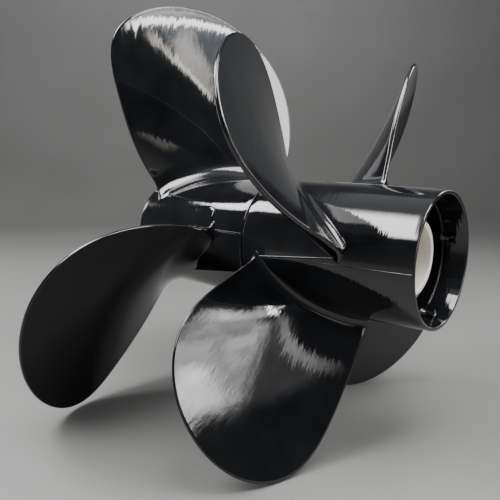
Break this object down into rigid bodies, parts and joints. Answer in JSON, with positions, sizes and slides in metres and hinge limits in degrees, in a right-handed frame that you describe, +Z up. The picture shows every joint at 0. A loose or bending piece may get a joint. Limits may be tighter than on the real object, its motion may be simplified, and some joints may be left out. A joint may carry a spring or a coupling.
{
  "type": "contra-rotating boat propeller pair",
  "caption": "Contra-rotating boat propeller pair, cast and painted gloss black: broad front and rear propellers on one shaft line, hollow hubs, standing on their blade tips.",
  "frame": {"origin": "on the floor under the middle of the overall box; the shaft line is 142.6 mm up, 1.8 mm to the -Y side", "axes": "+X runs aft along the shaft line, away from the boat; +Z is up when the pair stands on its blade tips"},
  "size_m": [0.264, 0.3661, 0.3394],
  "materials": {
    "black_paint": "gloss black paint on cast aluminium",
    "cream_plastic": "plain moulded plastic",
    "rubber": "moulded",
    "brass": "machined splines"
  },
  "bodies": {
    "front_propeller": {"front_hub_barrel": "black_paint", "front_inner_hub": "black_paint", "front_rib_1": "black_paint", "front_rib_2": "black_paint", "front_rib_3": "black_paint", "front_rubber_bush": "rubber", "front_splined_sleeve": "brass", "front_blade_1": "black_paint", "front_blade_2": "black_paint", "front_blade_3": "black_paint"},
    "rear_propeller": {"rear_hub_barrel": "black_paint", "rear_inner_hub": "black_paint", "rear_rib_1": "black_paint", "rear_rib_2": "black_paint", "rear_rib_3": "black_paint", "rear_rib_4": "black_paint", "rear_rubber_bush": "rubber", "rear_splined_sleeve": "brass", "rear_plastic_liner": "cream_plastic", "rear_blade_1": "black_paint", "rear_blade_2": "black_paint", "rear_blade_3": "black_paint", "rear_blade_4": "black_paint"}
  },
  "joints": [
    {"name": "rear_spin", "type": "hinge", "parent": "front_propeller", "child": "rear_propeller", "pos_m": [-0.0016, -0.0018, 0.1426], "axis": [1, 0, 0], "continuous": true}
  ]
}
